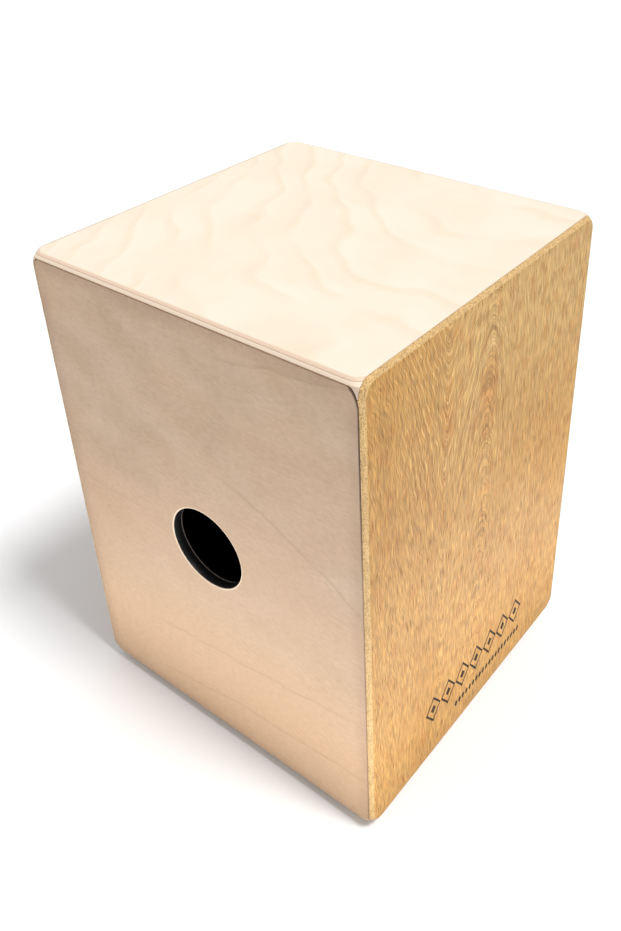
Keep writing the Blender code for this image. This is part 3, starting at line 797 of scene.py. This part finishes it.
HANDS = ((1, "right"), (-1, "left"))
CORNERS = ("back_left", "back_right", "front_left", "front_right")
TAPA_SCREW = Screw(3.5, 2.0, 1.5, 16, True)
BLOCK_SCREW = Screw(3.6, 2.2, 1.75, 27, True)
FOOT_SCREW = Screw(4.2, 2.2, 1.9, 12.5, False)
PLATE_SCREW = Screw(2.6, 1.6, 1.2, 10, False)
SCREW_SIDES = 32
GOLDEN_TURN = 137.5
THREAD_PITCH, THREAD_DEPTH = 1.2 * MM, 0.35 * MM
TAPA_SCREWS = [f"tapa_screw_{number:02d}" for number in range(1, 15)]
BLOCK_SCREWS = {
    hand: [f"end_block_screw_{hand}_{level}" for level in ("lower", "upper")] for _, hand in HANDS
}
PLATE_SCREWS = {hand: [f"plate_screw_{hand}_{number}" for number in (1, 2)] for _, hand in HANDS}
FOOT_SCREWS = [f"foot_screw_{corner}" for corner in CORNERS]


def screw_frame(node, direction):
    """Where a screw's head is, with -Z turned the way that its tip points."""
    low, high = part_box(node)
    place = (low + high) / 2
    for axis, way in enumerate(direction):
        if way:
            place[axis] = low[axis] if way > 0 else high[axis]
    return Matrix.Translation(place) @ turn_to(direction)


def bore(node, kind, direction):
    """The clearance hole round one screw."""
    name = f"bore_{node}"
    head_r, shank_r = kind.head_r + SCREW_CLEARANCE, kind.shank_r + SCREW_CLEARANCE
    length = kind.length + SCREW_CLEARANCE
    profile = [(0, TRIM), (shank_r, TRIM)]
    if kind.sunk:
        profile = [(0, TRIM), (head_r, TRIM), (head_r, -0.2 * kind.head_h), (shank_r, -kind.head_h)]
    profile += [(shank_r, -length), (0, -length)]
    return add_object(name, turned_mesh(name, profile, SCREW_SIDES, screw_frame(node, direction)))


def cross_mesh(name, reach, depth):
    """A cross for a screwdriver that narrows as it goes in."""
    width = reach * 0.3

    def build(bm):
        rows = []
        for height, scale in ((0.4 * depth, 1.2), (-depth, 0.55)):
            row = []
            for turn in range(4):
                spin = Matrix.Rotation(math.radians(90 * turn), 2)
                for x, y in ((width, width), (reach, width), (reach, -width)):
                    point = spin @ Vector((x, -y)) * scale
                    row.append(bm.verts.new((point.x, point.y, height)))
            rows.append(row)
        for index in range(len(rows[0])):
            after = (index + 1) % len(rows[0])
            bm.faces.new((rows[0][index], rows[0][after], rows[1][after], rows[1][index]))
        bm.faces.new(rows[0])
        bm.faces.new(rows[1])
        bmesh.ops.triangulate(bm, faces=bm.faces[:])

    return mesh_from(name, build)


def screw_head(kind):
    """The head's outline from its middle to its shank."""
    head_r, head_h, shank_r = kind.head_r, kind.head_h, kind.shank_r
    if kind.sunk:
        rim = 0.12 * MM
        points = [(0, 0), (head_r - rim, 0), (head_r - 0.3 * rim, -0.3 * rim), (head_r, -rim)]
        return points + [(head_r, -0.2 * head_h), (shank_r, -head_h)]
    dome = [math.radians(angle) for angle in range(0, 91, 10)]
    points = [(head_r * math.sin(a), -0.6 * head_h * (1 - math.cos(a))) for a in dome]
    return points + [(head_r, -head_h), (shank_r, -head_h)]


def build_screw(node, kind, direction, material, spin, body="case"):
    """A screw with a cross in its head and a thread on its shank, turned to its own angle."""
    root_r = kind.shank_r - THREAD_DEPTH
    tip = -kind.length + 2 * kind.shank_r
    profile = screw_head(kind)
    height = -kind.head_h - THREAD_PITCH
    while height - THREAD_PITCH > tip:
        profile += [(root_r, height), (kind.shank_r, height - THREAD_PITCH / 2)]
        height -= THREAD_PITCH
    profile += [(root_r, tip), (0, -kind.length)]
    cross = add_object("cross", cross_mesh("cross", 0.58 * kind.head_r, 0.5 * kind.head_h))
    name = f"{node}_steel"
    screw = carved(name, turned_mesh(name, profile, SCREW_SIDES), [("DIFFERENCE", cross)])
    drop(cross)
    turned = screw_frame(node, direction) @ Matrix.Rotation(math.radians(spin), 4, "Z")
    screw.data.transform(turned)
    dress(screw, node, material, body)


def build_box():
    case = add_object("case", case_mesh())
    half_w, inner_back = HALF_W - SIDE_LIP, BACK_INNER + GAP
    outline = rounded_outline(half_w, -TRIM, TOP_Z - TOP_LIP, RABBET_CORNERS, (GAP, GAP))
    rabbet = add_object("rabbet", stacked_mesh("rabbet", [(-HALF_D - TRIM, outline), (inner_back, outline)]))
    seat_rabbet = add_object(
        "seat_rabbet", box_mesh("seat_rabbet", (-half_w, -1, SEAT_UNDER - GAP), (half_w, 1, TOP_Z + 2 * TRIM))
    )
    floor_rabbet = add_object(
        "floor_rabbet", box_mesh("floor_rabbet", (-half_w, -1, -TRIM), (half_w, 1, FLOOR_TOP + GAP))
    )
    bores = {node: bore(node, TAPA_SCREW, (0, -1, 0)) for node in TAPA_SCREWS}
    foot_bores = [bore(node, FOOT_SCREW, (0, 0, 1)) for node in FOOT_SCREWS]
    cuts = minus((rabbet, seat_rabbet, floor_rabbet))

    for side, hand in HANDS:
        ends = sorted((side * SIDE_INNER, side * (HALF_W + TRIM)))
        holes = minus(bores[n] for n in TAPA_SCREWS if node_middle(n).x * side > SIDE_INNER)
        block_bores = [bore(node, BLOCK_SCREW, (side, 0, 0)) for node in BLOCK_SCREWS[hand]]
        holes += minus(block_bores)
        panel(
            f"{hand}_side_wood",
            f"{hand}_side_panel",
            (ends[0], -HALF_D - TRIM, FOOT_H - TRIM),
            (ends[1], CASE_FRONT, TOP_Z + TRIM),
            cuts + holes,
            oak(f"oak_{hand}", side, marked=side > 0),
            case,
        )
        drop(*block_bores)
    inner = [n for n in TAPA_SCREWS if abs(node_middle(n).x) < SIDE_INNER]
    high = minus(bores[n] for n in inner if node_middle(n).z > MID_Z)
    low = minus(bores[n] for n in inner if node_middle(n).z < MID_Z) + minus(foot_bores)
    panel(
        "seat_wood",
        "seat_panel",
        (-SEAT_HALF_W, -HALF_D - TRIM, SEAT_UNDER),
        (SEAT_HALF_W, CASE_FRONT, TOP_Z + TRIM),
        minus([rabbet]) + high,
        birch_seat(),
        case,
    )
    panel(
        "floor_wood",
        "floor_panel",
        (-SEAT_HALF_W, FLOOR_BACK, FOOT_H - TRIM),
        (SEAT_HALF_W, CASE_FRONT, FLOOR_TOP),
        low,
        birch_sheet("birch_floor", 31.0, FLOOR_TOP / MM - 0.2, 0.1, "Z"),
        case,
    )
    panel(
        "tapa_wood",
        "front_tapa",
        (-HALF_W - TRIM, TAPA_BACK, FOOT_H - TRIM),
        (HALF_W + TRIM, HALF_D + TRIM, TOP_Z + TRIM),
        minus(bores.values()),
        birch_sheet("birch_tapa", 17.0, TAPA_BACK / MM + 0.2, -0.1, "Y"),
        case,
    )
    build_back(case)
    drop(case, rabbet, seat_rabbet, floor_rabbet, *bores.values(), *foot_bores)


def build_back(case):
    layers = []
    for y, inset in (
        (-HALF_D, BACK_ARRIS),
        (-HALF_D + BACK_ARRIS * 0.3, BACK_ARRIS * 0.3),
        (-HALF_D + BACK_ARRIS, 0.0),
        (BACK_INNER, 0.0),
    ):
        outline = rounded_outline(BACK_HALF_W, BACK_FOOT, BACK_TOP, BACK_CORNERS, BACK_FOOT_CORNER, inset)
        layers.append((y, outline))
    thickness = BACK_INNER + HALF_D
    profile = [(0, thickness + TRIM), (HOLE_R + TRIM + HOLE_ARRIS, thickness + TRIM)]
    profile += [(HOLE_R + HOLE_ARRIS * 0.35, thickness - HOLE_ARRIS * 0.35), (HOLE_R, thickness - HOLE_ARRIS)]
    profile += [(HOLE_R, HOLE_ARRIS), (HOLE_R + HOLE_ARRIS * 0.3, HOLE_ARRIS * 0.3)]
    profile += [(HOLE_R + HOLE_ARRIS + 0.3 * TRIM, -TRIM), (0, -TRIM)]
    matrix = Matrix.Translation((0, BACK_INNER, HOLE_Z)) @ Matrix.Rotation(math.radians(90), 4, "X")
    hole = add_object("hole", turned_mesh("hole", profile, HOLE_SIDES, matrix))
    back = carved("back_wood", stacked_mesh("back_wood", layers), [("INTERSECT", case), ("DIFFERENCE", hole)])
    drop(hole)
    dress(back, "back_panel", birch_back())


# Battens, feet, screws and snare

BATTEN = 15 * MM
BATTEN_PLANED = 6.75 * MM
ARRIS = 0.5 * MM
FOOT_TOP_R, FOOT_FLOOR_R, FOOT_EDGE_R, FOOT_COLLAR = 14 * MM, 12 * MM, 1.5 * MM, 1.5 * MM
FOOT_BORE_R, FOOT_BORE_DEPTH, FOOT_ARRIS = 5 * MM, 4 * MM, 0.4 * MM
FOOT_SIDES = 72
BAR_ROUND, ROUND_STEPS = 1.5 * MM, 4
TENON_R, TENON_LENGTH, TENON_CLEARANCE, TENON_CHAMFER = 6 * MM, 14 * MM, 0.35 * MM, 1 * MM
TENON_SIDES = 48
STRANDS = 10
STRAND_LENGTH = 112 * MM
STRAND_SUNK = 2.5 * MM
COIL_R, WIRE_R, COIL_PITCH = 0.42 * MM, 0.2 * MM, 1.5 * MM
COIL_STEPS, WIRE_SIDES = 10, 5
PLATE_H, PLATE_T, PLATE_ROUND = 14 * MM, 1.2 * MM, 0.35 * MM
WIRES_LEAN = math.radians(1.3)


def softened(mesh, width):
    """The mesh with its sharp edges rounded off."""
    bm = bmesh.new()
    bm.from_mesh(mesh)
    sharp = [edge for edge in bm.edges if edge.is_manifold and edge.calc_face_angle() > math.radians(30)]
    bmesh.ops.bevel(bm, geom=sharp, offset=width, segments=2, affect="EDGES", profile=0.5)
    bm.to_mesh(mesh)
    bm.free()
    return mesh


def build_battens():
    pine = solid_wood("pine", srgb(226, 190, 142), srgb(196, 146, 92), "Y", dark_inside_share=0.93)
    for side, hand in HANDS:
        for end, up in (("top", -1), ("floor", 1)):
            node = f"batten_{end}_{hand}"
            low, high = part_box(node)
            x = high.x if side > 0 else low.x
            z = low.z if up > 0 else high.z
            kept = BATTEN - BATTEN_PLANED
            outline = [(0, 0), (BATTEN, 0), (BATTEN, kept), (kept, BATTEN), (0, BATTEN)]
            outline = [(x - side * dx, z + up * dz) for dx, dz in outline]
            mesh = softened(stacked_mesh(node, [(low.y, outline), (high.y, outline)]), ARRIS)
            dress(add_object(f"{node}_wood", mesh), node, pine, degrees=60)


def foot_profile():
    """The foot's outline from its bore's top round to its bore again."""
    bore_r, top = FOOT_SCREW.shank_r + SCREW_CLEARANCE, FOOT_H - GAP
    turn = [math.radians(angle) for angle in range(0, 91, 10)]
    rim = FOOT_FLOOR_R - FOOT_EDGE_R
    points = [(bore_r, top)]
    points += [(FOOT_TOP_R - ARRIS * (1 - math.sin(a)), top - ARRIS * (1 - math.cos(a))) for a in turn]
    points.append((FOOT_TOP_R, top - FOOT_COLLAR))
    points += [(rim + FOOT_EDGE_R * math.cos(a), FOOT_EDGE_R * (1 - math.sin(a))) for a in turn]
    points += [(FOOT_BORE_R + FOOT_ARRIS * (1 - math.sin(a)), FOOT_ARRIS * (1 - math.cos(a))) for a in turn]
    return points + [(FOOT_BORE_R, FOOT_BORE_DEPTH), (bore_r, FOOT_BORE_DEPTH), (bore_r, top)]


def build_feet():
    black = rubber()
    for corner in CORNERS:
        node = f"foot_{corner}"
        middle = node_middle(node)
        matrix = Matrix.Translation((middle.x, middle.y, 0))
        mesh = turned_mesh(f"{node}_rubber", foot_profile(), FOOT_SIDES, matrix)
        dress(add_object(f"{node}_rubber", mesh), node, black, degrees=40)


def build_blocks(beech):
    for side, hand in HANDS:
        node = f"end_block_{hand}"
        low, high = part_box(node)
        inner = low.x if side > 0 else high.x
        radius, depth = TENON_R + TENON_CLEARANCE, TENON_LENGTH + GAP
        profile = [(0, TRIM), (radius, TRIM), (radius, -depth), (0, -depth)]
        place = Matrix.Translation((inner, (low.y + high.y) / 2, (low.z + high.z) / 2))
        socket = turned_mesh("socket", profile, TENON_SIDES, place @ turn_to((side, 0, 0)))
        cutters = [add_object("socket", socket)]
        cutters += [bore(screw, BLOCK_SCREW, (side, 0, 0)) for screw in BLOCK_SCREWS[hand]]
        block = carved(f"{node}_wood", box_mesh(node, low, high, BAR_ROUND, ROUND_STEPS), minus(cutters))
        drop(*cutters)
        dress(block, node, beech)


def build_bar():
    low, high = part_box("snare_bar")
    middle, half = (low + high) / 2, (high - low) / 2
    body = Vector((half.x - TENON_LENGTH - GAP, half.y, half.z))
    profile = [(0, half.x), (TENON_R - TENON_CHAMFER, half.x), (TENON_R, half.x - TENON_CHAMFER)]
    profile += [(radius, -height) for radius, height in reversed(profile)]
    along = Matrix.Translation(middle) @ Matrix.Rotation(math.radians(90), 4, "Y")
    tenons = add_object("tenons", turned_mesh("tenons", profile, TENON_SIDES, along))
    bores = [bore(n, PLATE_SCREW, (0, -1, 0)) for _, hand in HANDS for n in PLATE_SCREWS[hand]]
    steps = [("UNION", tenons)] + minus(bores)
    square = box_mesh("bar", middle - body, middle + body, BAR_ROUND, ROUND_STEPS)
    bar = carved("snare_bar_wood", square, steps)
    drop(tenons, *bores)
    beech = solid_wood("beech_bar", srgb(214, 172, 130), srgb(194, 148, 106), "X", seed=6.0)
    dress(bar, "snare_bar", beech, "snare")


def coil(points, faces, x, y, low, high):
    """Adds one coiled strand to lists of points and faces. It leans to +Y as it rises."""
    steps = int((high - low) / COIL_PITCH * COIL_STEPS)
    first = len(points)
    for step in range(steps + 1):
        turn = 2 * math.pi * step / COIL_STEPS
        height = (high - low) * step / steps
        lean = max(low + height - PLATE_H / 2, 0.0) * math.tan(WIRES_LEAN)
        out = Vector((math.cos(turn), math.sin(turn), 0))
        middle = Vector((x, y + lean, low + height)) + out * COIL_R
        for side in range(WIRE_SIDES):
            angle = 2 * math.pi * side / WIRE_SIDES
            points.append(middle + (out * math.cos(angle) + Vector((0, 0, math.sin(angle)))) * WIRE_R)
    for step in range(steps):
        for side in range(WIRE_SIDES):
            after = (side + 1) % WIRE_SIDES
            row, above = first + step * WIRE_SIDES, first + (step + 1) * WIRE_SIDES
            faces.append((row + side, row + after, above + after, above + side))
    last = first + steps * WIRE_SIDES
    faces.append(tuple(range(first, first + WIRE_SIDES))[::-1])
    faces.append(tuple(range(last, last + WIRE_SIDES)))


def build_wires(steel):
    """Two sets of coiled strands, each held by its own end plate."""
    for _, hand in HANDS:
        node = f"snare_wires_{hand}"
        low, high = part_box(node)
        bores = [bore(screw, PLATE_SCREW, (0, -1, 0)) for screw in PLATE_SCREWS[hand]]
        top = (high.x, low.y + PLATE_T, low.z + PLATE_H)
        plate = carved(f"{node}_steel", box_mesh(node, low, top, PLATE_ROUND), minus(bores))
        drop(*bores)
        points, faces = [], []
        pitch = (high.x - low.x) / STRANDS
        for index in range(STRANDS):
            coil(
                points,
                faces,
                low.x + pitch * (index + 0.5),
                PLATE_T / 2,
                PLATE_H / 2 - STRAND_SUNK,
                PLATE_H / 2 + STRAND_LENGTH - WIRE_R,
            )
        strands = bpy.data.meshes.new("strands")
        strands.from_pydata([p + Vector((0, low.y, low.z + PLATE_H / 2)) for p in points], [], faces)
        bm = bmesh.new()
        bm.from_mesh(plate.data)
        bm.from_mesh(strands)
        bmesh.ops.recalc_face_normals(bm, faces=bm.faces)
        bm.to_mesh(plate.data)
        bm.free()
        dress(plate, node, steel, "snare")


def build_screws(steel):
    """Every screw, each with its cross turned to an angle of its own."""
    jobs = [(node, TAPA_SCREW, (0, -1, 0), "case") for node in TAPA_SCREWS]
    jobs += [(node, FOOT_SCREW, (0, 0, 1), "case") for node in FOOT_SCREWS]
    for side, hand in HANDS:
        jobs += [(node, BLOCK_SCREW, (side, 0, 0), "case") for node in BLOCK_SCREWS[hand]]
        jobs += [(node, PLATE_SCREW, (0, -1, 0), "snare") for node in PLATE_SCREWS[hand]]
    for index, (node, kind, direction, body) in enumerate(jobs):
        build_screw(node, kind, direction, steel, index * GOLDEN_TURN, body)


# Camera, floor and light

CAMERA_PLACE = (0.4184, -0.4885, 0.6998)
CAMERA_RIGHT, CAMERA_UP = (0.79415, 0.60738, -0.02047), (-0.29926, 0.42016, 0.85669)
CAMERA_BACK = (0.52893, -0.67421, 0.51543)
LENS, SENSOR = 37.012, 36.0
SHIFT_X, SHIFT_Y = -0.0530, -0.1274
FLOOR_R = 12.0
SKY_LIGHT, SKY_SEEN = 0.62, 1.0
KEY_PLACE, KEY_POWER, KEY_ANGLE = (1.25, 0.12, 2.5), 2.35, math.radians(14)
KEY_COLOUR, STRIP_COLOUR = (1.0, 0.99, 0.97), (1.0, 0.98, 0.95)
STRIP_SIZE, STRIP_Z = (0.60, 0.12), 0.004
STRIP_BACK = (0.06, -HALF_D - 0.14, STRIP_Z)
STRIP_SIDE = (HALF_W + 0.12, 0.0, STRIP_Z)
STRIP_BACK_POWER, STRIP_SIDE_POWER = 0.69, 0.58


def set_camera():
    data = bpy.data.cameras.new("camera")
    camera = bpy.data.objects.new("camera", data)
    bpy.context.scene.collection.objects.link(camera)
    turn = Matrix((CAMERA_RIGHT, CAMERA_UP, CAMERA_BACK)).transposed().to_4x4()
    camera.matrix_world = Matrix.Translation(CAMERA_PLACE) @ turn
    data.lens, data.sensor_width = LENS, SENSOR
    data.shift_x, data.shift_y = SHIFT_X, SHIFT_Y
    bpy.context.scene.camera = camera


def add_light(name, kind, place, target, power, colour):
    data = bpy.data.lights.new(name, kind)
    data.energy = power
    data.color = colour
    light = bpy.data.objects.new(name, data)
    bpy.context.scene.collection.objects.link(light)
    place, target = Vector(place), Vector(target)
    aim = (place - target).to_track_quat("Z", "Y").to_matrix().to_4x4()
    light.matrix_world = Matrix.Translation(place) @ aim
    light.visible_camera = False
    return data


def low_strip(name, place, turn, power):
    """A long light that lies on the floor and lifts the foot of one face. Turned about Z, in degrees."""
    data = add_light(name, "AREA", place, (0, 0, 1), power, STRIP_COLOUR)
    data.shape = "RECTANGLE"
    data.size, data.size_y = STRIP_SIZE
    spin = Matrix.Rotation(math.radians(turn), 4, "Z") @ Matrix.Rotation(math.pi, 4, "X")
    bpy.data.objects[name].matrix_world = Matrix.Translation(place) @ spin


def set_stage():
    def build(bm):
        bmesh.ops.create_circle(bm, cap_ends=True, segments=64, radius=FLOOR_R)

    floor = add_object("studio_floor", mesh_from("studio_floor", build))
    look = Look("studio_floor")
    cloud = look.noise(look.x / 900, look.y / 900)
    floor.data.materials.append(look.finish(look.mix(cloud, (0.90, 0.91, 0.93), (0.88, 0.89, 0.91)), 0.9))
    world = bpy.data.worlds.new("studio")
    world.use_nodes = True
    background = world.node_tree.nodes["Background"]
    background.inputs["Color"].default_value = (1.0, 1.0, 1.0, 1.0)
    path = world.node_tree.nodes.new("ShaderNodeLightPath")
    strength = world.node_tree.nodes.new("ShaderNodeMapRange")
    strength.inputs["To Min"].default_value = SKY_LIGHT
    strength.inputs["To Max"].default_value = SKY_SEEN
    world.node_tree.links.new(path.outputs["Is Camera Ray"], strength.inputs["Value"])
    world.node_tree.links.new(strength.outputs["Result"], background.inputs["Strength"])
    bpy.context.scene.world = world
    sun = add_light("key", "SUN", KEY_PLACE, (0, 0, 0), KEY_POWER, KEY_COLOUR)
    sun.angle = KEY_ANGLE
    low_strip("strip_back", STRIP_BACK, 0, STRIP_BACK_POWER)
    low_strip("strip_side", STRIP_SIDE, 90, STRIP_SIDE_POWER)
    bpy.context.scene.view_settings.view_transform = "Standard"


set_camera()
set_stage()
build_box()
build_battens()
build_feet()
build_blocks(solid_wood("beech_block", srgb(212, 170, 128), srgb(192, 146, 104), "Z"))
build_bar()
build_wires(metal("snare_steel", srgb(206, 206, 208), 0.28))
build_screws(metal("screw_steel", srgb(196, 196, 200), 0.34))
